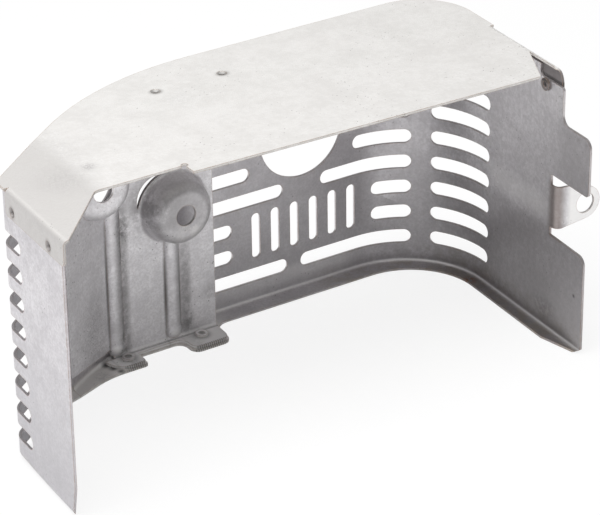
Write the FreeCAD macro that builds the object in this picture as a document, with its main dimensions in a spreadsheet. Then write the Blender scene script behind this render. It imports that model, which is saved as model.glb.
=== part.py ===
import FreeCAD, Part
import Sketcher
import math
import os
import re

# Muffler guard: a punched and bent wrap, a top cover clinched over it and an inner mounting bracket.
# Millimetres. X runs right along the back wall, Y runs back, Z up. The open side faces -Y.
# It is drawn from under the middle of the round hole, on the inner face of the back wall, and then
# moved so that its origin is the middle of its overall box, on the surface it stands on.

sizes = {
    # sheets, the gap between two of them, and how far a cutting shape runs past what it cuts
    "gauge": 1.0,
    "bracket_gauge": 1.2,
    "seam": 0.1,
    "margin": 5.0,
    # plan of the wrap, inner faces; the two sides lean by side_skew for each unit of depth
    "side_skew": 0.056,
    "left_reach": 163.8,
    "right_reach": 68.3,
    "left_depth": 106.5,
    "right_depth": 116.0,
    "left_corner_depth": 54.8,
    "left_corner_radius": 8.0,
    "sweep_vertex": 95.4,
    "sweep_radius": 125.0,
    "right_corner_radius": 38.5,
    # heights of the wrap and of the cover, which is held off the wrap's edge by its own bends
    "wrap_height": 118.3,
    "cover_gap": 1.2,
    "cover_height": "=wrap_height + cover_gap + gauge",
    # slot rows, by distance along the strip from the middle of the round hole
    "row_base": 13.2,
    "row_pitch": 12.0,
    "slot_height": 6.4,
    "row_end": 52.8,
    "centre_start": 35.0,
    "long_start": 9.4,
    "hole_start": 26.0,
    "hole_middle_start": 30.5,
    "bottom_split": 4.4,
    "bottom_half_gap": 3.35,
    "right_group_start": 61.1,
    "right_group_end": 93.6,
    "left_group_start": 167.7,
    "left_group_end": 197.0,
    # upright vents between the short slots
    "vent_count": 6,
    "vent_pitch": 9.6,
    "vent_width": 4.2,
    "vent_length": 21.0,
    "vent_middle_x": 0.8,
    "vent_middle_z": 31.6,
    # round openings of the back wall
    "round_hole_radius": 20.3,
    "round_hole_height": 73.6,
    "access_radius": 12.8,
    # bottom lip
    "lip_width": 8.5,
    "side_lip_width": 6.0,
    "lip_bend": 1.6,
    "lip_chamfer_start": 93.5,
    "lip_chamfer_end": 110.5,
    "lip_left": 126.0,
    "lip_left_depth": 29.0,
    "lip_turn": 108.0,
    "lip_turn_radius": 40.0,
    "scallop_radius": 7.0,
    # tabs of the lip under the bracket's feet
    "tab_notch_depth": 14.0,
    "left_tab_depth": 22.0,
    "left_tab_right": 89.4,
    "right_tab_depth": 24.0,
    "right_tab_left": 69.0,
    "tab_corner": 4.0,
    # front profile of the left wall
    "left_taper_height": 13.0,
    "left_taper_run": 2.8,
    "left_rise": 3.0,
    # front profile of the right wall
    "upper_front": 96.4,
    "upper_drop": 5.0,
    "upper_bottom": 97.6,
    "relief_start": 80.0,
    "tab_front": 115.8,
    "tab_clearance": 4.4,
    "tab_bottom": "=ear_top + tab_clearance",
    "notch_depth": 89.6,
    "notch_clearance": 3.7,
    "notch_bottom": "=ear_bottom - notch_clearance",
    "lower_front": 113.9,
    "lower_slope": 0.6,
    "lower_top": "=notch_bottom - lower_slope",
    "right_rise": 2.0,
    "profile_rounding": 4.0,
    # ear bent outward from the right wall
    "ear_plane": 93.8,
    "ear_bend": 3.0,
    "ear_reach": 15.0,
    "ear_hole_height": 57.2,
    "ear_above": 11.0,
    "ear_below": 8.5,
    "ear_top": "=ear_hole_height + ear_above",
    "ear_bottom": "=ear_hole_height - ear_below",
    "ear_end_radius": 7.5,
    "ear_hole_radius": 4.5,
    # bracket
    "bracket_setback": 9.9,
    "bracket_right": 50.6,
    "bracket_fold": 101.4,
    "bracket_end": 126.0,
    "bracket_end_depth": 25.0,
    "bracket_bend": 1.5,
    "wing_bottom": 6.0,
    "wing_rise": 3.0,
    "foot_left": 104.8,
    "foot_left_radius": 9.0,
    "foot_margin": 0.7,
    "shelf_depth": 24.0,
    "shelf_left": 90.0,
    "shelf_right": 43.6,
    # bosses and beads of the bracket
    "boss_height": 10.6,
    "boss_base_radius": 15.3,
    "boss_face_radius": 12.8,
    "boss_rounding": 5.0,
    "boss_hole_radius": 4.5,
    "right_boss_x": 69.5,
    "right_boss_z": 63.3,
    "left_boss_x": 106.8,
    "left_boss_z": 84.3,
    "slit_radius": 10.4,
    "slit_shift": 8.4,
    "slit_angle": 138.0,
    "slit_clearance": 1.2,
    "boss_flare": 2.0,
    "boss_base_rounding": 1.5,
    "bead_width": 7.2,
    "bead_height": 1.9,
    "bead_foot": 6.5,
    "knuckle_rise": 0.4,
    "left_bead_x": 98.2,
    "right_bead_x": 71.0,
    # cover
    "cover_overhang": 1.3,
    "cover_corner_radius": 25.0,
    "cover_bend": 1.4,
    "cover_drop": 1.0,
    "cover_fold": 142.0,
    "left_flange_drop": 11.6,
    "right_flange_drop": 14.8,
    "left_flange_front": 110.5,
    "left_flange_rear": 61.0,
    "right_flange_front": 94.0,
    "right_flange_rear": 42.0,
    "front_depth": 92.8,
    "front_skew": 0.028,
    "setback_x": 105.2,
    "left_front_depth": 83.2,
    "left_front_x": 143.5,
    "diagonal_x": 158.4,
    "diagonal_depth": 98.9,
    "right_front_x": 52.9,
    "slot_relief_start": 72.0,
    # clinched eyelets
    "eyelet_outer_radius": 2.1,
    "eyelet_bore_radius": 1.3,
    "eyelet_mouth_radius": 2.0,
    "eyelet_flare_radius": 2.7,
    "eyelet_flare": 0.9,
    "eyelet_clearance": 0.05,
    "left_eyelet_drop": 8.5,
    "right_eyelet_drop": 9.6,
    "left_eyelet_front": 97.6,
    "left_eyelet_rear": 66.6,
    "right_eyelet_front": 84.6,
    "right_eyelet_rear": 53.0,
    "shelf_eyelet_depth": 19.7,
    "shelf_eyelet_left": 80.5,
    "shelf_eyelet_right": 49.8,
    "foot_eyelet_depth": 15.2,
    "foot_eyelet_left": 95.4,
    "foot_eyelet_right": 60.2,
}

doc = FreeCAD.newDocument("muffler_guard")
sheet = doc.addObject("Spreadsheet::Sheet", "Sizes")
for line, (alias, number) in enumerate(sizes.items(), start=1):
    sheet.set(f"A{line}", alias)
    sheet.set(f"B{line}", str(number))
    sheet.setAlias(f"B{line}", alias)
doc.recompute()

up = FreeCAD.Vector(0, 0, 1)
floor = FreeCAD.Rotation()
front = FreeCAD.Rotation(FreeCAD.Vector(1, 0, 0), 90)
side = FreeCAD.Rotation(FreeCAD.Vector(1, 1, 1), 120)


# An expression in plain size names becomes one that points at the sheet.
def bound(text):
    return re.sub(r"[a-z][a-z_]*", lambda word: "Sizes." + word[0] if word[0] in sizes else word[0], text)


def value(text):
    return float(sheet.evalExpression(bound(text)))


# Makes an object; text values are bound to the sheet, everything else is set as it is.
def make(kind, name, **settings):
    thing = doc.addObject(kind, name)
    for setting, content in settings.items():
        if isinstance(content, str) and setting not in ("DirMode", "Mode", "Join"):
            thing.setExpression(setting, bound(content))
        else:
            setattr(thing, setting, content)
    return thing


def place(thing, x="0", y="0", z="0", turn=None):
    if turn is not None:
        thing.Placement = FreeCAD.Placement(FreeCAD.Vector(), turn)
    for axis, text in zip("xyz", (x, y, z)):
        thing.setExpression("Placement.Base." + axis, bound(text))
    return thing


# A sketch through corners (x, y, radius), each bound to the sheet; a corner with a radius is an arc.
def outline(name, corners, plane=floor, closed=True, shift="0"):
    sketch = doc.addObject("Sketcher::SketchObject", name)
    sketch.Placement = FreeCAD.Placement(FreeCAD.Vector(), plane)
    normal = plane.multVec(up)
    for axis in "xyz":
        if abs(getattr(normal, axis)) > 0.5:
            sign = "-" if getattr(normal, axis) < 0 else ""
            sketch.setExpression("Placement.Base." + axis, bound(f"{sign}({shift})"))
    points = [FreeCAD.Vector(value(x), value(y), 0) for x, y, _ in corners]
    count = len(points)
    starts, ends, arcs = list(points), list(points), {}
    for index, (_, _, radius) in enumerate(corners):
        if radius is None:
            continue
        here, reach = points[index], value(radius)
        back = (points[index - 1] - here).normalize()
        ahead = (points[(index + 1) % count] - here).normalize()
        half = back.getAngle(ahead) / 2
        ends[index] = here + back * (reach / math.tan(half))
        starts[index] = here + ahead * (reach / math.tan(half))
        middle = here + (back + ahead).normalize() * (reach / math.sin(half))
        crest = middle + (here - middle).normalize() * reach
        arcs[index] = sketch.addGeometry(Part.Arc(ends[index], crest, starts[index]), False)
    last = count if closed else count - 1
    lines = []
    for index in range(last):
        segment = Part.LineSegment(starts[index], ends[(index + 1) % count])
        lines.append(sketch.addGeometry(segment, False))

    def fix(geometry, position, corner):
        for kind, text in zip(("DistanceX", "DistanceY"), corner[:2]):
            sketch.addConstraint(Sketcher.Constraint(kind, -1, 1, geometry, position, value(text)))
            sketch.setExpression(f"Constraints[{sketch.ConstraintCount - 1}]", bound(text))

    for index, corner in enumerate(corners):
        before = lines[index - 1] if closed or index > 0 else None
        after = lines[index] if index < last else None
        if index not in arcs:
            fix(*((after, 1) if after is not None else (before, 2)), corner)
            if before is not None and after is not None:
                sketch.addConstraint(Sketcher.Constraint("Coincident", before, 2, after, 1))
            continue
        arc = arcs[index]
        knee = sketch.addGeometry(Part.Point(points[index]), True)
        fix(knee, 1, corner)
        arc_ends = [sketch.getPoint(arc, 1), sketch.getPoint(arc, 2)]
        nearer = 1 if (arc_ends[0] - ends[index]).Length < (arc_ends[1] - ends[index]).Length else 2
        sketch.addConstraint(Sketcher.Constraint("Tangent", before, 2, arc, nearer))
        sketch.addConstraint(Sketcher.Constraint("Tangent", after, 1, arc, 3 - nearer))
        sketch.addConstraint(Sketcher.Constraint("PointOnObject", knee, 1, before))
        sketch.addConstraint(Sketcher.Constraint("PointOnObject", knee, 1, after))
        sketch.addConstraint(Sketcher.Constraint("Radius", arc, value(corner[2])))
        sketch.setExpression(f"Constraints[{sketch.ConstraintCount - 1}]", bound(corner[2]))
    return sketch


# A closed face between an open path and its copy on one side of it.
def strip(name, path, thickness):
    return make("Part::Offset2D", name, Source=path, Value=thickness, Mode="Skin", Join="Intersection",
                Fill=True)


def extrude(name, base, length, direction=(0, 0, 1)):
    solid = make("Part::Extrusion", name, Base=base, DirMode="Custom", LengthFwd=length, Solid=True)
    solid.Dir = FreeCAD.Vector(*direction)
    return solid


def fuse(name, *pieces):
    return make("Part::MultiFuse", name, Shapes=list(pieces), Refine=True)


def common(name, *pieces):
    return make("Part::MultiCommon", name, Shapes=list(pieces), Refine=True)


def cut(name, base, *tools):
    tool = tools[0] if len(tools) == 1 else fuse(name + "_tools", *tools)
    return make("Part::Cut", name, Base=base, Tool=tool, Refine=True)


def box(name, x, y, z, length, width, height):
    return place(make("Part::Box", name, Length=length, Width=width, Height=height), x, y, z)


# A cylinder that starts some way along its own direction from a point.
def rod(name, radius, length, point, turn=floor, start="0"):
    heading = turn.multVec(up)
    shares = [round(getattr(heading, axis), 9) for axis in "xyz"]
    foot = [f"{text} + ({share}) * ({start})" for text, share in zip(point, shares)]
    return place(make("Part::Cylinder", name, Radius=radius, Height=length), *foot, turn)


# Rounds the edges of a finished object that a test on their middle point picks.
def fillet(name, base, radius, test):
    doc.recompute()
    picked = []
    for number, edge in enumerate(base.Shape.Edges, start=1):
        middle = edge.valueAt((edge.FirstParameter + edge.LastParameter) / 2)
        if test(middle):
            picked.append((number, value(radius), value(radius)))
    return make("Part::Fillet", name, Base=base, Edges=picked)


# Plan of the wrap: both sides lean by one angle, and the back turns by another towards the left side.
lean = "atan(side_skew)"
turned = "atan(left_corner_depth / (left_reach + left_corner_depth * side_skew - sweep_vertex))"
left_in = FreeCAD.Rotation(up, FreeCAD.Vector(1, -value("side_skew"), 0))
right_in = FreeCAD.Rotation(up, FreeCAD.Vector(-1, value("side_skew"), 0))


# The x of a point on the left or right wall's inner face at some depth, moved outward from it.
def left_x(depth, outward="0"):
    return f"-left_reach - ({depth}) * side_skew - ({outward}) / cos({lean})"


def right_x(depth, outward="0"):
    return f"right_reach - ({depth}) * side_skew + ({outward}) / cos({lean})"


def rear_left_corner(outward):
    share = f"({outward}) / (1 + sin({turned} + {lean}))"
    x = f"-left_reach - left_corner_depth * side_skew - (sin({turned}) + cos({lean})) * {share}"
    y = f"-left_corner_depth + (cos({turned}) + sin({lean})) * {share}"
    return x, y, f"left_corner_radius + {outward}"


def sweep_corner(outward):
    return f"-sweep_vertex - ({outward}) * tan({turned} / 2)", outward, f"sweep_radius + {outward}"


def rear_right_corner(outward, radius="right_corner_radius"):
    return f"right_reach + ({outward}) * cos({lean}) / (1 - sin({lean}))", outward, f"{radius} + ({outward})"


def wrap_plan(name, outward, left_end, right_end, closed):
    return outline(name, [
        (left_x(left_end, outward), f"-({left_end})", None),
        rear_left_corner(outward),
        sweep_corner(outward),
        rear_right_corner(outward),
        (right_x(right_end, outward), f"-({right_end})", None),
    ], closed=closed)


# Wrap: a tray with a bent edge, whose front is open and whose floor is trimmed to a lip with two tabs.
def tray():
    outer_end, inner_end = "right_depth + 4 * margin", "right_depth + 6 * margin"
    outer_plan = wrap_plan("outer_plan", "gauge", outer_end, outer_end, True)
    outer = extrude("outer_block", outer_plan, "wrap_height")
    floor_front = -value(outer_end) + value("margin")
    outer_bent = fillet("outer_bent", outer, "lip_bend + gauge",
                        lambda middle: abs(middle.z) < 1e-6 and middle.y > floor_front)
    inner = extrude("inner_block", wrap_plan("inner_plan", "0", inner_end, inner_end, True), "wrap_height")
    place(inner, z="gauge")
    level = value("gauge")
    inner_bent = fillet("inner_bent", inner, "lip_bend",
                        lambda middle: abs(middle.z - level) < 1e-6 and middle.y > floor_front)
    return cut("tray", outer_bent, inner_bent)


# The part of the floor that is cut away, in front of the lip's free edge.
def lip_gap():
    end = "-right_depth - 6 * margin"
    gap = extrude("lip_gap", outline("lip_edge", [
        (left_x("right_depth", "4 * margin"), "-lip_left_depth", None),
        ("-lip_left", "-lip_left_depth", None),
        ("-lip_turn", "-left_tab_depth", "lip_turn_radius"),
        ("-left_tab_right", "-left_tab_depth", "tab_corner / 2"),
        ("-left_tab_right", "-tab_notch_depth", "tab_corner / 4"),
        ("-right_tab_left", "-tab_notch_depth", "tab_corner"),
        ("-right_tab_left", "-right_tab_depth", "tab_corner"),
        ("-bracket_right", "-right_tab_depth", "tab_corner"),
        ("-bracket_right", "-lip_width", "scallop_radius"),
        ("right_reach - side_lip_width", "-lip_width", "right_corner_radius - lip_width"),
        (right_x("lip_chamfer_start", "-side_lip_width"), "-lip_chamfer_start", None),
        (right_x("lip_chamfer_end", "-lip_bend"), "-lip_chamfer_end", None),
        (right_x("right_depth", "-lip_bend"), end, None),
        (left_x("right_depth", "4 * margin"), end, None),
    ]), "lip_bend + gauge + 2 * margin")
    place(gap, z="-margin")
    inside = extrude("inside_block", wrap_plan("inside_plan", "0", "right_depth + 8 * margin",
                                               "right_depth + 8 * margin", True), "wrap_height")
    return common("lip_gap_inside", gap, place(inside, z="-margin"))


def right_front():
    end = "-right_depth - 6 * margin"
    profile = outline("right_profile", [
        ("-relief_start", "wrap_height + margin", None),
        ("-relief_start", "wrap_height - upper_drop", "profile_rounding / 2"),
        ("-upper_front", "wrap_height - upper_drop", "profile_rounding / 3"),
        ("-upper_front", "upper_bottom", "profile_rounding"),
        ("-tab_front", "upper_bottom", "profile_rounding"),
        ("-tab_front", "tab_bottom", "profile_rounding / 2"),
        ("-notch_depth", "tab_bottom", "profile_rounding / 4"),
        ("-notch_depth", "notch_bottom", None),
        ("-lower_front", "lower_top", "profile_rounding"),
        ("-lower_front", "right_rise", "profile_rounding / 4"),
        ("-lip_chamfer_end", "0", None),
        ("-lip_chamfer_end", "-margin", None),
        (end, "-margin", None),
        (end, "wrap_height + margin", None),
    ], plane=side, shift="right_reach - 4 * margin")
    return extrude("right_front", profile, "8 * margin", (1, 0, 0))


# Cuts the left wall's front and its foot, which rises to a relief where the lip ends.
def left_front():
    end = "-right_depth - 6 * margin"
    profile = outline("left_profile", [
        (end, "wrap_height + margin", None),
        ("-left_depth", "wrap_height + margin", None),
        ("-left_depth", "left_taper_height", None),
        ("-left_depth + left_taper_run", "0", None),
        ("-left_corner_depth", "left_rise", None),
        ("-left_tab_depth + margin", "left_rise", None),
        ("-left_tab_depth + margin", "-margin", None),
        (end, "-margin", None),
    ], plane=side, shift="-left_reach - 6 * margin")
    return extrude("left_front", profile, "left_reach + 6 * margin - lip_left", (1, 0, 0))


# The strip's edges in order, each with its distance from the middle of the round hole at either end.
def stations(path):
    reached, runs, zero = 0.0, [], 0.0
    for edge in path.Shape.Wires[0].OrderedEdges:
        runs.append((edge, reached, reached + edge.Length))
        reached += edge.Length
        ends = [edge.valueAt(edge.FirstParameter), edge.valueAt(edge.LastParameter)]
        if max(abs(end.y) for end in ends) < 1e-6:
            zero = reached - max(end.x for end in ends)
    return [(edge, start - zero, end - zero) for edge, start, end in runs]


# The point of the strip at a distance along it, and the way out through the sheet there.
def at_station(runs, distance):
    edge, start, end = next(run for run in runs if distance <= run[2] + 1e-9)
    forward = edge.Orientation == "Forward"
    parameter = edge.getParameterByLength(distance - start if forward else end - distance)
    ahead = edge.tangentAt(parameter) * (1 if forward else -1)
    return edge.valueAt(parameter), FreeCAD.Vector(-ahead.y, ahead.x, 0)


# A slot with round ends, punched through the strip between two distances before it is bent.
def slot(runs, start, end, middle):
    half, depth = value("slot_height / 2"), value("margin")
    tips = []
    for distance in (start + half, end - half):
        point, outward = at_station(runs, distance)
        tips.append(Part.makeCylinder(half, 2 * depth, point - outward * depth + up * middle, outward))
    stretches = []
    for edge, run_start, run_end in runs:
        first, last = max(start + half, run_start), min(end - half, run_end)
        if last - first < 1e-6:
            continue
        inner, outer = [], []
        for distance in (first, (first + last) / 2, last):
            point, outward = at_station(runs, min(max(distance, run_start + 1e-7), run_end - 1e-7))
            inner.append(point - outward * depth)
            outer.append(point + outward * depth)
        if edge.Curve.TypeId == "Part::GeomLine":
            rims = [Part.makeLine(rim[0], rim[2]) for rim in (inner, outer)]
        else:
            rims = [Part.Arc(*rim).toShape() for rim in (inner, outer)]
        face = Part.makeRuledSurface(*rims)
        face.translate(up * (middle - half))
        stretches.append(face.extrude(up * 2 * half))
    return tips[0].fuse(tips[1:] + stretches).removeSplitter()


# Where the long slots begin in each row, from the bottom row up: to the left and to the right of X = 0.
def row_starts():
    gap, split = value("bottom_half_gap"), value("bottom_split")
    rows = ("centre_start", "centre_start", "long_start", "hole_start")
    rows += ("hole_middle_start", "hole_start", "long_start")
    return [(gap + split, gap - split)] + [(value(row), value(row)) for row in rows]


def slots(path):
    runs, punches = stations(path), []
    for row, (left, right) in enumerate(row_starts()):
        middle = value(f"row_base + {row} * row_pitch")
        punches.append(slot(runs, -value("left_group_end"), -value("left_group_start"), middle))
        punches.append(slot(runs, -value("row_end"), -left, middle))
        punches.append(slot(runs, right, value("row_end"), middle))
        punches.append(slot(runs, value("right_group_start"), value("right_group_end"), middle))
    thing = doc.addObject("Part::Feature", "slots")
    thing.Shape = Part.makeCompound(punches)
    return thing


# Upright vents in the field between the short slots.
def vents():
    half, pieces = "vent_width / 2", []
    straight = "(vent_length - vent_width)"
    for number in range(int(value("vent_count"))):
        across = f"vent_middle_x + ({number} - (vent_count - 1) / 2) * vent_pitch"
        low = f"vent_middle_z - {straight} / 2"
        name = f"vent_{number + 1}"
        pieces.append(box(name, f"{across} - {half}", "-margin", low, "vent_width", "2 * margin", straight))
        for end, height in (("low", low), ("high", f"{low} + {straight}")):
            pieces.append(rod(f"{name}_{end}", half, "2 * margin", (across, "margin", height), front))
    return fuse("vents", *pieces)


# The ear: the strip between two cuts, turned outward, with a rounded end and a hole.
def ear():
    root, hole = right_x("ear_plane"), right_x("ear_plane") + " + ear_reach"
    end, rounding = f"{hole} + ear_end_radius", "ear_end_radius - gauge / 4"
    path = outline("ear_path", [
        (right_x("notch_depth - margin"), "-notch_depth + margin", None),
        (root, "-ear_plane", "ear_bend"),
        (f"{hole} + 2 * ear_end_radius", "-ear_plane", None),
    ], closed=False)
    band = extrude("ear_band", strip("ear_strip", path, "-gauge"), "wrap_height")
    shape = outline("ear_outline", [
        (f"{root} - margin", "ear_bottom", None),
        (f"{root} + ear_bend", "ear_bottom", "ear_end_radius"),
        (end, "ear_hole_height - ear_end_radius + gauge", rounding),
        (end, "ear_hole_height + ear_end_radius - 2 * gauge", rounding),
        (f"{root} + 2 * ear_bend", "ear_top - gauge", "ear_end_radius"),
        (f"{root} - margin", "ear_top", None),
    ], plane=front, shift="ear_plane - 2 * margin")
    prism = extrude("ear_prism", shape, "4 * margin", (0, -1, 0))
    return common("ear", band, prism), (hole, "-ear_plane + margin", "ear_hole_height")


# A hollow rivet drawn out of one sheet, through another of the given thickness, and flared behind it.
def eyelet(name, point, turn, far_sheet):
    reach = f"gauge + seam + {far_sheet} + eyelet_clearance"
    collar = rod(name + "_collar", "eyelet_outer_radius", f"{reach} + eyelet_flare", point, turn)
    return [collar, rod(name + "_flare", "eyelet_flare_radius", "eyelet_flare", point, turn, reach)]


# The bore of such a rivet, with its drawn-in mouth.
def eyelet_bore(name, point, turn):
    mouth = make("Part::Cone", name + "_mouth", Radius1="eyelet_mouth_radius", Radius2="eyelet_bore_radius",
                 Height="gauge")
    return [rod(name + "_bore", "eyelet_bore_radius", "2 * margin", point, turn, "-gauge"),
            place(mouth, *point, turn)]


def eyelet_hole(name, point, turn):
    radius = "eyelet_outer_radius + eyelet_clearance"
    return rod(name + "_hole", radius, "2 * margin", point, turn, "-gauge / 2")


# Where the sheets are joined: each rivet's starting point on the outer face of the sheet it is drawn from.
lip_rivets = {
    "foot_rivet_left": ("-foot_eyelet_left", "-foot_eyelet_depth", "0"),
    "foot_rivet_right": ("-foot_eyelet_right", "-foot_eyelet_depth", "0"),
}
shelf_rivets = {
    "shelf_rivet_left": ("-shelf_eyelet_left", "-shelf_eyelet_depth", "cover_height"),
    "shelf_rivet_right": ("-shelf_eyelet_right", "-shelf_eyelet_depth", "cover_height"),
}
left_rivets = {
    f"left_rivet_{end}": (left_x(f"left_eyelet_{end}", "2 * gauge + seam"), f"-left_eyelet_{end}",
                          "cover_height - left_eyelet_drop") for end in ("front", "rear")
}
right_rivets = {
    f"right_rivet_{end}": (right_x(f"right_eyelet_{end}", "2 * gauge + seam"), f"-right_eyelet_{end}",
                           "cover_height - right_eyelet_drop") for end in ("front", "rear")
}
down = FreeCAD.Rotation(FreeCAD.Vector(1, 0, 0), 180)


def wrap():
    path = wrap_plan("wrap_path", "0", "left_depth", "right_depth", False)
    doc.recompute()
    relief_length = "left_flange_front - left_flange_rear + 1.5 * margin"
    top_relief = box("top_relief", left_x("left_flange_front", "4 * margin"), "-left_flange_front - margin",
                     "wrap_height - cover_drop", "8 * margin", relief_length, "margin")
    trimmed = cut("wrap_trimmed", tray(), lip_gap(), left_front(), right_front(), top_relief)
    ear_blank, ear_hole_point = ear()
    rivets = []
    bores = []
    for name, point in lip_rivets.items():
        rivets += eyelet(name, point, floor, "bracket_gauge")
        bores += eyelet_bore(name, point, floor)
    holes = [
        rod("round_hole", "round_hole_radius", "2 * margin", ("0", "margin", "round_hole_height"), front),
        rod("right_access", "access_radius", "2 * margin", ("-right_boss_x", "margin", "right_boss_z"), front),
        rod("left_access", "access_radius", "8 * margin", ("-left_boss_x", "margin", "left_boss_z"), front),
        rod("ear_hole", "ear_hole_radius", "2 * margin", ear_hole_point, front),
    ]
    holes += [eyelet_hole("wall_" + name, point, left_in) for name, point in left_rivets.items()]
    holes += [eyelet_hole("wall_" + name, point, right_in) for name, point in right_rivets.items()]
    blank = fuse("wrap_blank", trimmed, ear_blank, *rivets)
    return cut("wrap", blank, slots(path), vents(), *holes, *bores)


# Cover: a plate with a shallow fold near its left end, and a flange bent down over each side wall.
def cover_sheet(name, corners):
    path = outline(name + "_path", corners, plane=front, closed=False, shift="-margin")
    lean_way = (-value("side_skew"), -1, 0)
    return extrude(name, strip(name + "_strip", path, "gauge"), "left_flange_front + 4 * margin", lean_way)


def cover_sheets():
    under = "cover_height - gauge"
    left, right = left_x("-margin", "gauge + seam"), right_x("-margin", "gauge + seam")
    bent = cover_sheet("cover_bent", [
        (left, "cover_height - left_flange_drop", None),
        (left, f"{under} - cover_drop", "cover_bend"),
        ("-cover_fold", under, None),
        (right, under, "cover_bend"),
        (right, "cover_height - right_flange_drop", None),
    ])
    flat = cover_sheet("cover_flat", [
        (f"1.1 * ({left}) + 0.1 * cover_fold", f"{under} - 1.1 * cover_drop", None),
        ("-cover_fold", under, None),
        (f"{right} + margin", under, None),
    ])
    return bent, flat


def cover_plan():
    over, bend = "gauge + cover_overhang", "gauge + seam - cover_bend"
    rear_right = rear_right_corner(over)
    return extrude("cover_prism", outline("cover_plan", [
        rear_left_corner(over),
        sweep_corner(over),
        (rear_right[0], rear_right[1], "cover_corner_radius"),
        (right_x("right_flange_rear", over), "-right_flange_rear", None),
        (right_x("right_flange_rear", bend), "-right_flange_rear", None),
        (right_x("slot_relief_start", bend), "-slot_relief_start", None),
        ("right_front_x", "-front_depth - front_skew * right_front_x", "profile_rounding / 4"),
        ("-setback_x", "-front_depth + front_skew * setback_x", None),
        ("-setback_x", "-left_front_depth", None),
        ("-left_front_x", "-left_front_depth", "profile_rounding"),
        ("-diagonal_x", "-diagonal_depth", "profile_rounding"),
        (left_x("left_flange_front", bend), "-left_flange_front", None),
        (left_x("left_flange_rear", bend), "-left_flange_rear", None),
        (left_x("left_flange_rear", over), "-left_flange_rear", None),
    ]), "cover_height + margin")


# One flange: the bent sheet within a strip of the plan, with rounded corners at its front end.
def flange(name, bent, wall_x, rear, end, drop, outward, corner):
    bend = "gauge + seam - cover_bend"
    plan = extrude(name + "_prism", outline(name + "_plan", [
        (wall_x(rear, bend), f"-{rear}", None),
        (wall_x(rear, "2 * margin"), f"-{rear}", None),
        (wall_x(end, "2 * margin"), f"-{end}", None),
        (wall_x(end, bend), f"-{end}", None),
    ]), "cover_height + margin")
    profile = outline(name + "_profile", [
        (f"-{rear}", f"cover_height - {drop}", "profile_rounding / 2"),
        (f"-{rear}", "cover_height + margin", None),
        *corner,
        (f"-{end}", f"cover_height - {drop}", "profile_rounding / 2"),
    ], plane=side, shift=outward)
    reach = extrude(name + "_reach", profile, "left_reach", (1, 0, 0))
    return common(name, bent, plan, reach)


def cover():
    bent, flat = cover_sheets()
    plate = common("cover_plate", flat, cover_plan())
    square = [("-left_flange_front", "cover_height + margin", None)]
    round_top = [("-right_flange_front", "cover_height", "2 * profile_rounding")]
    left = flange("left_flange", bent, left_x, "left_flange_rear", "left_flange_front", "left_flange_drop",
                  "-left_reach - 4 * margin", square)
    right = flange("right_flange", bent, right_x, "right_flange_rear", "right_flange_front",
                   "right_flange_drop", "0", round_top)
    rivets, bores = [], []
    for turn, far_sheet, group in (
        (down, "bracket_gauge", shelf_rivets),
        (left_in, "gauge", left_rivets),
        (right_in, "gauge", right_rivets),
    ):
        for name, point in group.items():
            rivets += eyelet(name, point, turn, far_sheet)
            bores += eyelet_bore(name, point, turn)
    notch = rod("setback_notch", "profile_rounding / 3", "cover_height + margin",
                ("-setback_x", "-left_front_depth", "0"))
    return cut("cover", fuse("cover_blank", plate, left, right, *rivets), notch, *bores)


# Bracket: a plate on two feet with a shelf under the cover and a wing folded forward on the left.
bracket_low = "gauge + seam"
bracket_high = "cover_height - gauge - seam"
bracket_front = "-bracket_setback - bracket_gauge"
core_left = "-bracket_fold + bracket_gauge"
bend_end = "-bracket_setback - bracket_gauge - bracket_bend"


def bracket_core():
    path = outline("bracket_section", [
        ("-bracket_setback - 4 * margin", bracket_low, None),
        ("-bracket_setback", bracket_low, "bracket_bend + bracket_gauge"),
        ("-bracket_setback", bracket_high, "bracket_bend + bracket_gauge"),
        ("-bracket_setback - 4 * margin", bracket_high, None),
    ], plane=side, closed=False, shift=core_left)
    bent = extrude("bracket_bent", strip("bracket_strip", path, "-bracket_gauge"),
                   f"-shelf_right - ({core_left})", (1, 0, 0))
    wall_box = box("bracket_face", core_left, bend_end, "0", f"-bracket_right - ({core_left})",
                   "margin", "cover_height")
    foot_edge = "-tab_notch_depth + foot_margin / 4"
    foot = extrude("foot", outline("foot_plan", [
        ("-bracket_right", bend_end, None),
        ("-bracket_right - foot_margin", "-right_tab_depth + foot_margin", "tab_corner"),
        ("-right_tab_left + foot_margin", "-right_tab_depth + foot_margin", "tab_corner"),
        ("-right_tab_left + foot_margin", foot_edge, "tab_corner"),
        ("-left_tab_right - foot_margin", foot_edge, "tab_corner / 4"),
        ("-left_tab_right - foot_margin", "-left_tab_depth + foot_margin", "tab_corner / 2"),
        ("-foot_left", "-left_tab_depth + foot_margin", "foot_left_radius"),
        ("-foot_left", bend_end, None),
    ]), "bracket_gauge")
    place(foot, z=bracket_low)
    shelf = extrude("shelf", outline("shelf_plan", [
        ("-shelf_left", bend_end, None),
        ("-shelf_left", "-shelf_depth", "tab_corner"),
        ("-shelf_right", "-shelf_depth", "tab_corner"),
        ("-shelf_right", bend_end, None),
    ]), "bracket_gauge")
    place(shelf, z=f"{bracket_high} - bracket_gauge")
    return [common("bracket_wall", bent, wall_box), foot, shelf]


def wing_path(name, closed, far):
    corners = [
        ("-bracket_right + margin" if closed else f"{core_left} + bracket_gauge", "-bracket_setback", None),
        ("-bracket_fold", "-bracket_setback", "bracket_bend + bracket_gauge"),
        (f"-bracket_fold - (bracket_end - bracket_fold) * {far}",
         f"-bracket_setback - (bracket_end_depth - bracket_setback) * {far}", None),
    ]
    if closed:
        corners += [
            (f"-bracket_fold - (bracket_end - bracket_fold) * {far}", "4 * margin", None),
            ("-bracket_right + margin", "4 * margin", None),
        ]
    return outline(name, corners, closed=closed)


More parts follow.
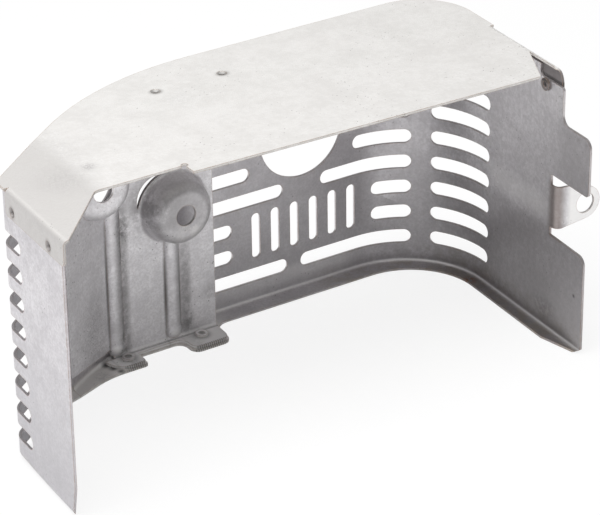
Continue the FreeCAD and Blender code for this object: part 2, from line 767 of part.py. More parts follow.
def wing():
    sheet_strip = strip("wing_strip", wing_path("wing_path", False, 1), "-bracket_gauge")
    whole = place(extrude("wing_blank", sheet_strip, f"{bracket_high} - wing_bottom"), z="wing_bottom")
    beyond_end = "bracket_fold - 2 * bracket_end"
    below = extrude("wing_trim", outline("wing_trim_plan", [
        ("-bracket_fold", "0", None),
        ("-bracket_fold", "wing_bottom", None),
        (beyond_end, "wing_bottom + 2 * wing_rise", None),
        (beyond_end, "0", None),
    ], plane=front), "10 * margin", (0, -1, 0))
    return cut("wing", whole, below)


# A boss turned about its own axis: the outer form, and the well pressed into it from behind.
slope = "((boss_base_radius - boss_face_radius) / boss_height)"
radial_gauge = f"bracket_gauge * sqrt(1 + {slope} ^ 2)"


def turned_about_y(name, corners, x, z):
    turned_solid = make("Part::Revolution", name, Source=outline(name + "_profile", corners), Solid=True)
    turned_solid.Axis = FreeCAD.Vector(0, 1, 0)
    turned_solid.Angle = 360
    return place(turned_solid, x, "0", z)


def boss(name, x, z):
    face = f"{bracket_front} - boss_height"
    flare = "boss_base_radius + boss_flare"
    outer = turned_about_y(name, [
        ("0", "-bracket_setback - bracket_gauge / 2", None),
        (flare, "-bracket_setback - bracket_gauge / 2", None),
        (flare, bracket_front, None),
        ("boss_base_radius", bracket_front, "boss_base_rounding"),
        ("boss_face_radius", face, "boss_rounding"),
        ("0", face, None),
    ], x, z)
    behind = "-bracket_setback + seam"
    well = turned_about_y(name + "_well", [
        ("0", behind, None),
        (f"boss_base_radius + {slope} * (bracket_gauge + seam) - {radial_gauge}", behind, None),
        (f"boss_face_radius + {slope} * bracket_gauge - {radial_gauge}", f"{face} + bracket_gauge",
         "boss_rounding - bracket_gauge"),
        ("0", f"{face} + bracket_gauge", None),
    ], x, z)
    hole = rod(name + "_hole", "boss_hole_radius", "8 * margin", (x, "0", z), front)
    return outer, well, hole


# A half-round stiffening bead from the foot up to a boss, with a knuckle on the bend at its foot.
bead_radius = "((bead_width ^ 2 / 4 + bead_height ^ 2) / (2 * bead_height))"


def bead(name, x, boss_z):
    axis = f"{bracket_front} + {bead_radius} - bead_height"
    length = f"{boss_z} - boss_base_radius + margin - bead_foot"
    shapes = []
    for kind, inset in (("", "0"), ("_groove", "bracket_gauge")):
        radius = f"{bead_radius} - {inset}"
        run = rod(name + kind, radius, length, (x, axis, "bead_foot"))
        ball = make("Part::Sphere", name + kind + "_knuckle", Radius=f"{radius} + knuckle_rise")
        shapes.append([run, place(ball, x, axis, "bead_foot")])
    return shapes


def bracket():
    right_boss, right_well, right_hole = boss("right_boss", "-right_boss_x", "right_boss_z")
    left_boss, left_well, left_hole = boss("left_boss", "-left_boss_x", "left_boss_z")
    right_bead, right_groove = bead("right_bead", "-right_bead_x", "right_boss_z")
    left_bead, left_groove = bead("left_bead", "-left_bead_x", "left_boss_z")
    behind = extrude("behind_bracket", wing_path("behind_path", True, 2), "cover_height + margin")
    beyond = box("beyond_bracket", "-bracket_right", "-10 * margin", "0", "4 * margin", "12 * margin",
                 "cover_height")
    bosses = cut("bosses", fuse("boss_forms", right_boss, left_boss), behind, beyond)
    in_front = box("in_front", "-bracket_end", "-8 * margin", "0", "bracket_end",
                   "8 * margin - bracket_setback - bracket_gauge / 2", "cover_height")
    beads = common("beads", fuse("bead_forms", *right_bead, *left_bead), in_front)
    slit_x = "-right_boss_x + slit_shift * cos(slit_angle * 1 deg)"
    slit_z = "right_boss_z + slit_shift * sin(slit_angle * 1 deg)"
    disc = rod("slit_disc", "slit_radius", "margin", (slit_x, "-bracket_setback + margin / 2", slit_z), front)
    core = rod("slit_core", "boss_base_radius + slit_clearance", "3 * margin",
               ("-right_boss_x", "0", "right_boss_z"), front)
    slit = cut("slit", disc, core)
    relief = box("foot_relief", "-foot_left", bend_end, "0", "2 * bracket_gauge", "2 * margin", "bead_foot")
    holes = [eyelet_hole("bracket_" + name, point, floor) for name, point in lip_rivets.items()]
    holes += [eyelet_hole("bracket_" + name, point, down) for name, point in shelf_rivets.items()]
    blank = fuse("bracket_blank", *bracket_core(), wing(), bosses, beads)
    return cut("bracket", blank, right_well, left_well, right_hole, left_hole, *right_groove, *left_groove,
               slit, relief, *holes)


# The overall box runs from the left flange to the ear's end, and from the right tab to the cover's back edge.
leftmost = left_x("left_flange_front", "2 * gauge + seam")
rightmost = right_x("ear_plane") + " + ear_reach + ear_end_radius"
middle_y = "(gauge + cover_overhang - tab_front) / 2"

parts = {"perforated_wrap": wrap(), "top_cover": cover(), "mounting_bracket": bracket()}
for label, thing in parts.items():
    thing.Label = label
    place(thing, f"-({leftmost} + {rightmost}) / 2", f"-({middle_y})")
doc.recompute()
for thing in doc.Objects:
    if "Invalid" in thing.State or "Error" in thing.State:
        raise RuntimeError(f"{thing.Name} failed: {thing.State}")
for label, thing in parts.items():
    if thing.Shape.isNull() or not thing.Shape.isValid():
        raise RuntimeError(f"{label} has no valid shape")
    print(label, len(thing.Shape.Solids), "solid,", round(thing.Shape.Volume / 1000, 2), "cm3")
os.makedirs("parts", exist_ok=True)
for label, thing in parts.items():
    thing.Shape.exportStep(f"parts/{label}.step")
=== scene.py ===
import math
import bpy
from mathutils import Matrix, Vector


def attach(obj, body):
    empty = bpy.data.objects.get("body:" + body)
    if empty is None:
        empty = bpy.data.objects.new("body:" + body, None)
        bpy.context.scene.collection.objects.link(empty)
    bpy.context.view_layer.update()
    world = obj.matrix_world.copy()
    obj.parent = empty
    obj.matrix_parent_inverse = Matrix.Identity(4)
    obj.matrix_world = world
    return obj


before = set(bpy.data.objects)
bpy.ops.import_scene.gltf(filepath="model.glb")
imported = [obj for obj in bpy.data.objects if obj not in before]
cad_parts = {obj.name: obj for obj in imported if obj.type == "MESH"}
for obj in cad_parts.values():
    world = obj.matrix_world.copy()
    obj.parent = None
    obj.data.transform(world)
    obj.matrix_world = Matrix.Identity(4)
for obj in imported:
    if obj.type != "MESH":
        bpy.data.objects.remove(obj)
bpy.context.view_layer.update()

scene = bpy.context.scene


# A shader socket that takes part in plain sums: each operator adds one Math node.
class Wire:
    def __init__(self, graph, socket):
        self.graph = graph
        self.socket = socket

    def maths(self, operation, first, second):
        return self.graph.node("Math", {"operation": operation},
                               {"Value": first, "Value_001": second})

    def __add__(self, other):
        return self.maths("ADD", self, other)

    def __radd__(self, other):
        return self.maths("ADD", other, self)

    def __sub__(self, other):
        return self.maths("SUBTRACT", self, other)

    def __rsub__(self, other):
        return self.maths("SUBTRACT", other, self)

    def __mul__(self, other):
        return self.maths("MULTIPLY", self, other)

    def __rmul__(self, other):
        return self.maths("MULTIPLY", other, self)


# The node tree of one material. Sockets are named by their identifiers.
class Graph:
    def __init__(self, name):
        self.material = bpy.data.materials.new(name)
        self.material.use_nodes = True
        self.tree = self.material.node_tree
        self.tree.nodes.clear()

    def socketNamed(self, sockets, identifier):
        return next(socket for socket in sockets if socket.identifier == identifier)

    # Adds a node. Its settings are set first, then each socket gets a number, a colour or a link.
    # Without a named output, the wire comes from the first one.
    def node(self, kind, settings, sockets, output=None):
        made = self.tree.nodes.new("ShaderNode" + kind)
        for setting, content in settings.items():
            setattr(made, setting, content)
        for identifier, content in sockets.items():
            socket = self.socketNamed(made.inputs, identifier)
            if isinstance(content, Wire):
                self.tree.links.new(content.socket, socket)
            else:
                socket.default_value = content
        if output:
            return Wire(self, self.socketNamed(made.outputs, output))
        return Wire(self, made.outputs[0]) if made.outputs else None

    # Where a value lies between two others, from 0 to 1.
    def between(self, value, low, high):
        return self.node("MapRange", {"interpolation_type": "SMOOTHSTEP", "clamp": True},
                         {"Value": value, "From Min": low, "From Max": high})

    # A colour is a wire or three numbers.
    def blendColour(self, share, first, second):
        if not isinstance(first, Wire):
            first = (*first, 1.0)
        if not isinstance(second, Wire):
            second = (*second, 1.0)
        return self.node("Mix", {"data_type": "RGBA", "blend_type": "MIX", "clamp_factor": True},
                         {"Factor_Float": share, "A_Color": first, "B_Color": second},
                         "Result_Color")

    def vectorMaths(self, operation, first, second):
        return self.node("VectorMath", {"operation": operation},
                         {"Vector": first, "Vector_001": second})

    def noise(self, vector, scale, detail=4.0, roughness=0.7):
        return self.node("TexNoise", {}, {"Vector": vector, "Scale": scale, "Detail": detail,
                                          "Roughness": roughness})

    # 1 in the middle of a soft round spot, 0 beyond its radius.
    def spot(self, point, middle, radius, stretch):
        offset = self.vectorMaths("SUBTRACT", point, middle)
        scaled = self.vectorMaths("MULTIPLY", offset, stretch)
        distance = self.node("VectorMath", {"operation": "LENGTH"}, {"Vector": scaled}, "Value")
        return 1 - self.between(distance, 0.0, radius)

    # 1 inside a box, 0 outside it. Its borders are soft for that far to each side, axis by axis.
    def field(self, point, low, high, soft):
        sides = []
        for axis, start, end, border in zip("XYZ", low, high, soft):
            along = self.node("SeparateXYZ", {}, {"Vector": point}, axis)
            rise = self.between(along, start - border, start + border)
            fall = self.between(along, end - border, end + border)
            sides.append(rise * (1 - fall))
        return sides[0] * sides[1] * sides[2]

    # Raises a mask, so that the effect never goes away entirely.
    def lifted(self, mask, least):
        return mask * (1 - least) + least

    def finish(self, sockets):
        shader = self.node("BsdfPrincipled", {}, sockets)
        self.node("OutputMaterial", {}, {"Surface": shader})
        return self.material


# Dark specks that come in loose groups.
def speckMask(graph, point, look):
    pits = graph.node("TexVoronoi", {"feature": "F1"},
                      {"Vector": point, "Scale": look["speckScale"]}, "Distance")
    groups = graph.between(graph.noise(point, **look["speckGroups"]), *look["speckGroupRange"])
    return (1 - graph.between(pits, *look["speckRange"])) * groups * look["speckShare"]


# The cut edges: where a rounded normal leaves the true one, more in some places than in others.
def edgeMask(graph, point, look):
    normal = graph.node("NewGeometry", {}, {}, "Normal")
    rounded = graph.node("Bevel", {"samples": look["edgeSamples"]}, {"Radius": look["edgeWidth"]})
    along = graph.node("VectorMath", {"operation": "DOT_PRODUCT"},
                       {"Vector": rounded, "Vector_001": normal}, "Value")
    edge = 1 - graph.between(along, *look["edgeRange"])
    rust = graph.between(graph.noise(point, **look["rust"]), *look["rustRange"])
    return edge * graph.lifted(rust, look["rustLeast"]) * look["edgeShare"]


# Areas are boxes with soft borders. Some are patchy or ribbed, and a matt one takes that much off
# the metallic value.
def paintAreas(graph, point, look, colour):
    metallic = look["metallic"]
    for area in look["areas"]:
        share = graph.field(point, area["low"], area["high"], area["soft"]) * area["share"]
        if "patchScale" in area:
            patches = graph.noise(point, area["patchScale"])
            share = share * graph.between(patches, *look["areaPatches"])
        if "ribScale" in area:
            ribs = graph.node("TexWave", {"bands_direction": "X"},
                              {"Vector": point, "Scale": area["ribScale"]}, "Fac")
            share = share * graph.lifted(ribs, look["ribGap"])
        colour = graph.blendColour(share, colour, area["colour"])
        if "matt" in area:
            metallic = metallic - share * area["matt"]
    return colour, metallic


# Marks are soft round spots. A stretch above 1 narrows one along an axis, below 1 draws it out,
# and 0 lets it run right through.
def paintMarks(graph, point, look, colour):
    for mark in look["marks"]:
        stretch = mark.get("stretch", (1.0, 1.0, 1.0))
        share = graph.spot(point, mark["middle"], mark["radius"], stretch)
        if "patchScale" in mark:
            patches = graph.noise(point, mark["patchScale"])
            share = share * graph.between(patches, *look["markPatches"])
        colour = graph.blendColour(share * mark["share"], colour, mark["colour"])
    return colour


# Zinc-coated sheet: clouds from dark to pale zinc under fine grains, then the areas and marks of
# this sheet (stains, painted light and painted shade), dark specks, and bare brown steel along the
# cut edges.
def zincSheet(name, look):
    graph = Graph(name)
    point = graph.node("TexCoord", {}, {}, "Object")
    clouds = graph.noise(point, **look["clouds"])
    mottle = graph.noise(point, **look["mottle"])
    grains = graph.noise(point, **look["grains"])
    stretched = graph.vectorMaths("MULTIPLY", point, look["streakStretch"])
    streaks = graph.noise(stretched, **look["streaks"])
    cloudPart, streakPart, mottlePart = look["cloudMix"]
    mixed = clouds * cloudPart + streaks * streakPart + mottle * mottlePart
    cloudy = graph.between(mixed, *look["contrast"])
    grainy = graph.between(grains, *look["contrast"])
    colour = graph.blendColour(cloudy, look["darkZinc"], look["paleZinc"])
    colour = graph.blendColour(grainy * look["grainShare"], colour, look["grainColour"])
    colour, metallic = paintAreas(graph, point, look, colour)
    colour = paintMarks(graph, point, look, colour)
    colour = graph.blendColour(speckMask(graph, point, look), colour, look["speckColour"])
    colour = graph.blendColour(edgeMask(graph, point, look), colour, look["edgeColour"])
    cloudLift, mottleLift, grainLift = look["bumpMix"]
    height = clouds * cloudLift + mottle * mottleLift + grains * grainLift
    bump = {"Strength": look["bumpStrength"], "Distance": look["bumpDepth"], "Height": height}
    dull = look["roughness"] + grainy * look["grainRoughness"] - cloudy * look["cloudGloss"]
    return graph.finish({
        "Base Color": colour,
        "Metallic": metallic,
        "Roughness": dull,
        "Normal": graph.node("Bump", {}, bump),
    })


# sootAndShade serves real stains and also painted shade in bores, grooves and creases
sootAndShade = (0.09, 0.085, 0.085)
# stainAndShade serves real stains and also broad painted shade on walls, beads and bosses
stainAndShade = (0.36, 0.345, 0.35)
# paintedLight: the colour of painted highlights and of surfaces painted paler where light falls
paintedLight = (1.0, 0.99, 0.98)

# The finish that all three sheets share.
plainZinc = {
    "darkZinc": (0.625, 0.605, 0.63),
    "paleZinc": (0.745, 0.725, 0.75),
    "clouds": {"scale": 75.0, "roughness": 0.6},
    "streaks": {"scale": 75.0, "detail": 3.0, "roughness": 0.6},
    "streakStretch": (0.5, 0.5, 1.6),
    "mottle": {"scale": 300.0},
    "cloudMix": (0.5, 0.2, 0.3),  # clouds, streaks, mottle
    "grains": {"scale": 900.0, "detail": 3.0, "roughness": 0.65},
    "grainColour": (0.54, 0.52, 0.53),
    "grainShare": 0.45,
    "contrast": (0.38, 0.62),  # the range of the noises that is spread from 0 to 1
    "areaPatches": (0.38, 0.60),
    "markPatches": (0.36, 0.58),
    "ribGap": 0.3,  # how much of the colour stays between ribs
    "speckScale": 480.0,
    "speckRange": (0.04, 0.17),
    "speckGroups": {"scale": 45.0, "detail": 2.0, "roughness": 0.55},
    "speckGroupRange": (0.48, 0.62),
    "speckShare": 0.7,
    "speckColour": (0.10, 0.09, 0.09),
    "edgeWidth": 0.0007,
    "edgeSamples": 6,
    "edgeRange": (0.86, 0.985),
    "edgeShare": 0.6,
    "edgeColour": (0.36, 0.22, 0.14),
    "rust": {"scale": 260.0, "detail": 3.0, "roughness": 0.55},
    "rustRange": (0.35, 0.62),
    "rustLeast": 0.5,
    "metallic": 0.88,
    "roughness": 0.36,
    "grainRoughness": 0.08,
    "cloudGloss": 0.05,
    "bumpStrength": 0.12,
    "bumpDepth": 0.0004,
    "bumpMix": (0.2, 0.3, 0.5),  # clouds, mottle, grains
}

wrapLook = dict(
    plainZinc,
    areas=[
        # painted shade: the right wall is darker below, most of all at its front corner
        {"low": (0.095, -0.08, -0.01), "high": (0.115, 0.04, 0.047),
         "soft": (0.008, 0.012, 0.006), "share": 0.5, "colour": stainAndShade},
        {"low": (0.095, -0.08, -0.01), "high": (0.115, -0.02, 0.022),
         "soft": (0.008, 0.016, 0.010), "share": 0.65, "colour": stainAndShade},
        # it is patchy all over, and grimy just above its lip
        {"low": (0.095, -0.08, -0.01), "high": (0.120, 0.045, 0.125),
         "soft": (0.008, 0.012, 0.006), "share": 0.35, "colour": stainAndShade, "patchScale": 420.0},
        {"low": (0.090, -0.08, 0.002), "high": (0.120, 0.045, 0.010),
         "soft": (0.008, 0.012, 0.005),
         "share": 0.4, "colour": (0.30, 0.27, 0.24), "patchScale": 260.0},
        # painted light makes it paler above, with a painted highlight streak, and it is darker
        # again at the upper front
        {"low": (0.095, -0.08, 0.050), "high": (0.112, 0.03, 0.13),
         "soft": (0.008, 0.012, 0.005), "share": 0.2, "colour": paintedLight},
        {"low": (0.095, -0.032, 0.050), "high": (0.112, 0.012, 0.060),
         "soft": (0.008, 0.006, 0.004), "share": 0.4, "colour": paintedLight},
        {"low": (0.095, -0.07, 0.070), "high": (0.112, -0.036, 0.10),
         "soft": (0.008, 0.006, 0.004), "share": 0.35, "colour": stainAndShade},
        # its lip is brownish, and darker with painted shade
        {"low": (0.05, -0.07, -0.01), "high": (0.12, 0.06, 0.0012),
         "soft": (0.01, 0.01, 0.0006),
         "share": 0.75, "colour": (0.42, 0.38, 0.33), "patchScale": 150.0},
        # painted shade: the back wall is darker than the sides
        {"low": (-0.10, 0.040, 0.010), "high": (0.100, 0.062, 0.125),
         "soft": (0.01, 0.004, 0.006), "share": 0.28, "colour": stainAndShade},
        # painted shade: a patchy dark band above the lip of the back wall, towards the right
        # corner
        {"low": (0.080, 0.035, 0.003), "high": (0.112, 0.06, 0.008),
         "soft": (0.01, 0.01, 0.003), "share": 0.5, "colour": stainAndShade, "patchScale": 200.0},
        # painted light: the foot of the back wall is paler in its middle
        {"low": (-0.02, 0.035, 0.002), "high": (0.070, 0.06, 0.012),
         "soft": (0.01, 0.01, 0.002), "share": 0.45, "colour": paintedLight, "matt": 0.3},
        # painted light: the lip is paler at the left
        {"low": (-0.10, 0.0, -0.01), "high": (-0.005, 0.06, 0.0026),
         "soft": (0.01, 0.004, 0.0012), "share": 0.9, "colour": (1.0, 0.98, 0.95), "matt": 0.75},
        # painted shade: the left wall is darker below
        {"low": (-0.14, -0.07, -0.04), "high": (-0.09, 0.03, 0.050),
         "soft": (0.006, 0.01, 0.035), "share": 0.65, "colour": (0.50, 0.49, 0.51)},
        # the tabs under the feet have dark, ribbed rims
        {"low": (-0.0300, 0.0300, -0.001), "high": (-0.0040, 0.0340, 0.0020),
         "soft": (0.001, 0.0004, 0.001), "share": 0.6, "colour": sootAndShade, "ribScale": 330.0},
        {"low": (-0.0560, 0.0320, -0.001), "high": (-0.0440, 0.0358, 0.0020),
         "soft": (0.002, 0.0004, 0.001), "share": 0.6, "colour": sootAndShade, "ribScale": 330.0},
        # the bend of the lip catches the light
        {"low": (-0.12, -0.06, 0.0014), "high": (0.115, 0.06, 0.0021),
         "soft": (0.002, 0.002, 0.0003), "share": 0.75, "colour": paintedLight},
        # the ear has painted light on it, and painted shade in its bend
        {"low": (0.1125, -0.045, 0.045), "high": (0.14, -0.034, 0.075),
         "soft": (0.002, 0.002, 0.002), "share": 0.9, "colour": paintedLight},
        {"low": (0.1035, -0.042, 0.045), "high": (0.1100, -0.032, 0.070),
         "soft": (0.0020, 0.002, 0.002), "share": 0.7, "colour": (0.22, 0.17, 0.15)},
    ],
    marks=[
        # small stains of the right wall and of the lip
        {"middle": (0.1055, -0.0513, 0.0248), "radius": 0.0014, "share": 0.9, "colour": sootAndShade},
        {"middle": (0.1055, -0.0510, 0.0949), "radius": 0.0022,
         "share": 0.7, "colour": stainAndShade, "patchScale": 700.0},
        {"middle": (0.1052, -0.0568, 0.0946), "radius": 0.0018,
         "share": 0.7, "colour": stainAndShade, "patchScale": 700.0},
        {"middle": (0.1051, 0.0195, 0.001), "radius": 0.0045,
         "share": 1.0, "colour": (0.35, 0.16, 0.07), "patchScale": 600.0},
        {"middle": (0.1063, -0.030, 0.0100), "radius": 0.007, "stretch": (1.0, 0.5, 1.0),
         "share": 0.4, "colour": sootAndShade, "patchScale": 420.0},
        {"middle": (-0.0675, 0.036, 0.001), "radius": 0.006,
         "share": 0.4, "colour": stainAndShade, "patchScale": 400.0},
        # the rivets that come up through the feet have painted highlights, with painted shade in
        # their bores
        {"middle": (-0.0521, 0.04155, 0.0030), "radius": 0.0060, "share": 1.0, "colour": paintedLight},
        {"middle": (-0.0521, 0.04155, 0.0030), "radius": 0.0020, "share": 1.0, "colour": sootAndShade},
        {"middle": (-0.0169, 0.04155, 0.0030), "radius": 0.0060, "share": 1.0, "colour": paintedLight},
        {"middle": (-0.0169, 0.04155, 0.0030), "radius": 0.0020, "share": 1.0, "colour": sootAndShade},
        # painted shadow in the groove under the left foot
        {"middle": (-0.0605, 0.0480, 0.0015), "radius": 0.0035, "share": 0.9, "colour": sootAndShade},
        {"middle": (-0.0615, 0.0435, 0.001), "radius": 0.0040, "share": 0.95, "colour": sootAndShade},
        {"middle": (-0.0605, 0.0395, 0.001), "radius": 0.0030, "share": 0.9, "colour": sootAndShade},
        {"middle": (-0.0590, 0.0360, 0.001), "radius": 0.0024, "share": 0.9, "colour": sootAndShade},
        # the far rivet in the right flange has painted shade inside
        {"middle": (0.1068, -0.0278, 0.1104), "radius": 0.0018, "share": 1.0, "colour": sootAndShade},
    ])

coverLook = dict(
    plainZinc,
    # painted light: the cover's zinc is painted paler than the wrap's, for the light on its top
    darkZinc=(0.83, 0.815, 0.795),
    paleZinc=(0.97, 0.955, 0.935),
    grainColour=(0.74, 0.725, 0.705),
    metallic=0.5,
    roughness=0.55,
    edgeColour=(0.45, 0.30, 0.20),
    edgeShare=0.7,
    areas=[
        # the flange on the right shows its inner face, with painted shade on it
        {"low": (0.1035, -0.06, 0.095), "high": (0.12, 0.02, 0.1192),
         "soft": (0.0005, 0.003, 0.0008), "share": 0.85, "colour": (0.20, 0.175, 0.18)},
        {"low": (0.1035, -0.06, 0.1120), "high": (0.12, -0.02, 0.1146),
         "soft": (0.0005, 0.003, 0.0004), "share": 0.9, "colour": sootAndShade},
        # painted shade: the folded corner and the flange on the left are a little darker
        {"low": (-0.14, -0.08, 0.10), "high": (-0.0985, 0.08, 0.13),
         "soft": (0.006, 0.02, 0.002), "share": 0.62, "colour": (0.62, 0.60, 0.585)},
        {"low": (-0.14, -0.08, 0.10), "high": (-0.09, 0.08, 0.1188),
         "soft": (0.006, 0.02, 0.0008), "share": 0.4, "colour": (0.55, 0.53, 0.525)},
    ],
    marks=[
        # faint stains of the plate
        {"middle": (-0.0923, -0.0076, 0.1205), "radius": 0.005,
         "share": 0.55, "colour": stainAndShade, "patchScale": 1300.0},
        {"middle": (-0.1064, -0.0112, 0.1205), "radius": 0.018,
         "share": 0.22, "colour": stainAndShade, "patchScale": 1400.0},
        {"middle": (-0.0940, 0.0113, 0.1205), "radius": 0.020, "stretch": (1.6, 0.6, 1.0),
         "share": 0.14, "colour": stainAndShade, "patchScale": 1100.0},
        {"middle": (-0.0330, 0.0250, 0.1205), "radius": 0.012,
         "share": 0.12, "colour": stainAndShade, "patchScale": 900.0},
        # the clinched rivets have painted shade inside
        {"middle": (-0.0372, 0.0366, 0.1190), "radius": 0.0052, "stretch": (1.3, 1.5, 0.5),
         "share": 1.0, "colour": (0.12, 0.115, 0.11)},
        {"middle": (-0.0065, 0.0366, 0.1190), "radius": 0.0052, "stretch": (1.3, 1.5, 0.5),
         "share": 1.0, "colour": (0.12, 0.115, 0.11)},
        {"middle": (-0.1280, -0.04085, 0.1120), "radius": 0.0034, "stretch": (0.3, 1.0, 0.9),
         "share": 0.9, "colour": (0.14, 0.12, 0.12)},
        {"middle": (-0.1265, -0.00985, 0.1120), "radius": 0.0034, "stretch": (0.3, 1.0, 0.9),
         "share": 0.9, "colour": (0.14, 0.12, 0.12)},
    ])

bracketLook = dict(
    plainZinc,
    darkZinc=(0.80, 0.785, 0.805),
    paleZinc=(0.98, 0.965, 0.985),
    clouds={"scale": 110.0, "roughness": 0.6},
    streaks={"scale": 110.0, "detail": 3.0, "roughness": 0.6},
    grainColour=(0.70, 0.68, 0.69),
    grainShare=0.55,
    speckRange=(0.04, 0.22),
    metallic=0.7,
    roughness=0.42,
    bumpStrength=0.2,
    areas=[
        # painted light makes the feet paler than the wall above them, with a painted highlight
        # along their bend and a line of painted shade in it
        {"low": (-0.09, 0.02, -0.01), "high": (0.0, 0.0445, 0.0030),
         "soft": (0.002, 0.0015, 0.001), "share": 0.9, "colour": paintedLight, "matt": 0.6},
        {"low": (-0.09, 0.03, 0.0029), "high": (0.0, 0.06, 0.0036),
         "soft": (0.002, 0.002, 0.0004), "share": 0.7, "colour": paintedLight},
        {"low": (-0.09, 0.0442, 0.0020), "high": (0.0, 0.06, 0.0025),
         "soft": (0.002, 0.0004, 0.0003), "share": 0.6, "colour": sootAndShade},
        # ribs along the front edges of the feet
        {"low": (-0.0300, 0.0320, -0.001), "high": (-0.0040, 0.0344, 0.0050),
         "soft": (0.001, 0.0004, 0.001), "share": 0.7, "colour": sootAndShade, "ribScale": 330.0},
        {"low": (-0.0620, 0.0340, -0.001), "high": (-0.0440, 0.0364, 0.0050),
         "soft": (0.001, 0.0004, 0.001), "share": 0.7, "colour": sootAndShade, "ribScale": 330.0},
        # dark bands over the right flanks of the beads and beside them: painted shade, with patchy
        # stains
        {"low": (-0.0552, 0.040, 0.010), "high": (-0.0485, 0.06, 0.066),
         "soft": (0.0014, 0.002, 0.012), "share": 0.55, "colour": stainAndShade},
        {"low": (-0.0530, 0.040, 0.006), "high": (-0.0490, 0.06, 0.070),
         "soft": (0.0020, 0.002, 0.012), "share": 0.45, "colour": sootAndShade, "patchScale": 340.0},
        {"low": (-0.0272, 0.040, 0.008), "high": (-0.0195, 0.06, 0.044),
         "soft": (0.0014, 0.002, 0.008), "share": 0.50, "colour": stainAndShade},
        {"low": (-0.0240, 0.040, 0.006), "high": (-0.0195, 0.06, 0.044),
         "soft": (0.0020, 0.002, 0.008), "share": 0.35, "colour": sootAndShade, "patchScale": 340.0},
    ],
    marks=[
        # the creases beside the beads are dark with painted shade
        {"middle": (-0.0588, 0.046, 0.036), "radius": 0.0013, "stretch": (1.0, 0.0, 0.026),
         "share": 0.85, "colour": (0.16, 0.15, 0.15)},
        {"middle": (-0.0314, 0.046, 0.024), "radius": 0.0012, "stretch": (1.0, 0.0, 0.036),
         "share": 0.85, "colour": (0.16, 0.15, 0.15)},
        {"middle": (-0.0250, 0.046, 0.024), "radius": 0.0010, "stretch": (1.0, 0.0, 0.036),
         "share": 0.6, "colour": (0.20, 0.19, 0.19)},
        # dark spots at the ends of the bands beside the beads, and stains on the plate
        {"middle": (-0.0502, 0.046, 0.0600), "radius": 0.0055, "stretch": (1.0, 0.0, 0.45),
         "share": 0.6, "colour": sootAndShade, "patchScale": 420.0},
        {"middle": (-0.0513, 0.046, 0.0080), "radius": 0.0045, "stretch": (1.0, 0.0, 0.4),
         "share": 0.6, "colour": sootAndShade, "patchScale": 300.0},
        {"middle": (-0.0212, 0.046, 0.0080), "radius": 0.0050, "stretch": (1.0, 0.0, 0.6),
         "share": 0.6, "colour": sootAndShade, "patchScale": 300.0},
        {"middle": (-0.0690, 0.040, 0.0220), "radius": 0.018, "stretch": (1.2, 0.5, 0.7),
         "share": 0.3, "colour": sootAndShade, "patchScale": 1500.0},
        {"middle": (-0.0100, 0.046, 0.0190), "radius": 0.005,
         "share": 0.4, "colour": stainAndShade, "patchScale": 500.0},
        # painted shade darkens the bosses, most at the upper left, and painted light makes them
        # paler low down
        {"middle": (-0.0262, 0.036, 0.0633), "radius": 0.024, "share": 0.7, "colour": stainAndShade},
        {"middle": (-0.0400, 0.040, 0.0680), "radius": 0.016, "stretch": (1.0, 0.6, 0.8),
         "share": 0.6, "colour": (0.25, 0.24, 0.24), "patchScale": 160.0},
        {"middle": (-0.0300, 0.036, 0.0790), "radius": 0.014,
         "share": 0.6, "colour": (0.25, 0.24, 0.24)},
        {"middle": (-0.0240, 0.0352, 0.0570), "radius": 0.009,
         "share": 0.5, "colour": (0.95, 0.93, 0.91), "patchScale": 140.0},
        {"middle": (-0.0710, 0.040, 0.0830), "radius": 0.008, "share": 0.3, "colour": stainAndShade},
        # painted shade in rings round the rivets of the feet
        {"middle": (-0.0521, 0.04155, 0.0027), "radius": 0.0056, "share": 0.9, "colour": sootAndShade},
        {"middle": (-0.0169, 0.04155, 0.0027), "radius": 0.0056, "share": 0.9, "colour": sootAndShade},
        # painted highlights on the knuckles where the beads meet the feet
        {"middle": (-0.0560, 0.0440, 0.0060), "radius": 0.0032, "share": 1.0, "colour": paintedLight},
        {"middle": (-0.0280, 0.0440, 0.0055), "radius": 0.0032, "share": 1.0, "colour": paintedLight},
    ])

sheetLooks = {"perforated_wrap": wrapLook, "top_cover": coverLook, "mounting_bracket": bracketLook}
for nodeName, look in sheetLooks.items():
    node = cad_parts[nodeName]
    node.data.materials.clear()
    node.data.materials.append(zincSheet(nodeName + "_zinc", look))
print("materials done")


# Two sheets run on a little further than their nodes, behind the edge of the left wall: the
# bracket's wing, lapped a little over itself so that no seam shows, and the lip below it.
wingEnd = {
    "corners": [(-0.08188, 0.03227, 0.0089), (-0.08620, 0.02962, 0.0096),
                (-0.08620, 0.02962, 0.1194), (-0.08188, 0.03227, 0.1194)],
    "faces": [(0, 1, 2, 3)],
    "thickness": 0.00123,
    "slot": "zinc_bracket",
    "look": dict(bracketLook, edgeShare=0.0),
}
lipEnd = {
    "corners": [(-0.08273, 0.02775, 0.0010), (-0.08273, 0.03330, 0.0010),
                (-0.08730, 0.02970, 0.0010), (-0.08730, 0.02640, 0.0010),
                (-0.08273, 0.03330, 0.0030), (-0.08730, 0.02970, 0.0030)],
    "faces": [(0, 1, 2, 3), (1, 4, 5, 2)],
    "thickness": 0.0010,
    "slot": "zinc_sheet",
    "look": dict(wrapLook, edgeShare=0.0),
}


def sheetEnd(name, settings):
    mesh = bpy.data.meshes.new(name)
    mesh.from_pydata(settings["corners"], [], settings["faces"])
    mesh.materials.append(zincSheet(name + "_zinc", settings["look"]))
    piece = bpy.data.objects.new(name, mesh)
    scene.collection.objects.link(piece)
    thick = piece.modifiers.new("thickness", "SOLIDIFY")
    thick.thickness = settings["thickness"]
    thick.offset = -1.0  # the thickness goes behind the drawn face
    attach(piece, "root")


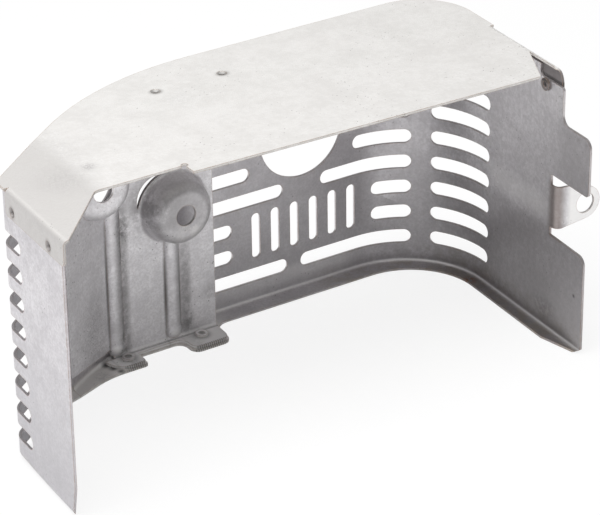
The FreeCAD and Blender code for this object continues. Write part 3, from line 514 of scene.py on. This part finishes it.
sheetEnd("wing_end", wingEnd)
sheetEnd("lip_end", lipEnd)
print("sheet ends done")


# The floor shows white to the camera, and keeps a faint shadow of the guard.
floorLook = {
    "halfSide": 4.0,
    "paper": (0.96, 0.96, 0.96),  # as the camera sees it
    "bounce": (0.85, 0.85, 0.85),  # as it lights the guard from below
    "glow": 0.86,  # how much of what the camera sees is plain white
    "mirrorShare": 0.15,  # how much of that white the metal mirrors
}


def whiteFloor(settings):
    half = settings["halfSide"]
    mesh = bpy.data.meshes.new("floor")
    corners = [(-half, -half, 0), (half, -half, 0), (half, half, 0), (-half, half, 0)]
    mesh.from_pydata(corners, [], [(0, 1, 2, 3)])
    floor = bpy.data.objects.new("floor", mesh)
    scene.collection.objects.link(floor)
    graph = Graph("floorPaper")
    direct = graph.node("LightPath", {}, {}, "Is Camera Ray")
    mirrored = graph.node("LightPath", {}, {}, "Is Glossy Ray")
    through = graph.node("LightPath", {}, {}, "Is Transmission Ray")
    seen = direct + mirrored * settings["mirrorShare"] + through
    colour = graph.blendColour(seen, settings["bounce"], settings["paper"])
    paper = graph.node("BsdfDiffuse", {}, {"Color": colour})
    glow = graph.node("Emission", {}, {"Color": (1.0, 1.0, 1.0, 1.0), "Strength": 1.0})
    mixed = graph.node("MixShader", {},
                       {"Fac": seen * settings["glow"], "Shader": paper, "Shader_001": glow})
    graph.node("OutputMaterial", {}, {"Surface": mixed})
    mesh.materials.append(graph.material)


whiteFloor(floorLook)

# Soft studio light: a large lamp high above the left half, a weaker one low and far out on the
# left, and a pale room.
roomLook = {"colour": (1.0, 1.0, 1.0, 1.0), "strength": 0.27}
lamps = {
    "keyLamp": {"place": (-0.29, -0.05, 1.4), "size": 1.1, "power": 21.0},
    "sideLamp": {"place": (-1.2, 0.1, 0.55), "size": 0.9, "power": 2.5},
}

world = bpy.data.worlds.new("room")
scene.world = world
world.use_nodes = True
background = world.node_tree.nodes["Background"]
background.inputs["Color"].default_value = roomLook["colour"]
background.inputs["Strength"].default_value = roomLook["strength"]

guardMiddle = Vector((0.0, 0.0, 0.06))
for lampName, lamp in lamps.items():
    data = bpy.data.lights.new(lampName, "AREA")
    data.shape = "DISK"
    data.size = lamp["size"]
    data.energy = lamp["power"]
    holder = bpy.data.objects.new(lampName, data)
    holder.location = lamp["place"]
    holder.rotation_euler = (guardMiddle - holder.location).to_track_quat("-Z", "Y").to_euler()
    scene.collection.objects.link(holder)
print("floor and light done")

# The camera stands where the photograph was taken from.
cameraLook = {
    "place": (-0.547677, -0.863321, 0.589294),
    "angles": (62.2557, 0.7041, -33.0250),  # degrees
    "lens": 172.77,  # millimetres
    "sensor": 36.0,  # millimetres
}

camera = bpy.data.objects.new("camera", bpy.data.cameras.new("camera"))
camera.location = cameraLook["place"]
camera.rotation_euler = [math.radians(angle) for angle in cameraLook["angles"]]
camera.data.lens = cameraLook["lens"]
camera.data.sensor_width = cameraLook["sensor"]
scene.collection.objects.link(camera)
scene.camera = camera
scene.view_settings.view_transform = "Standard"
print("camera done")
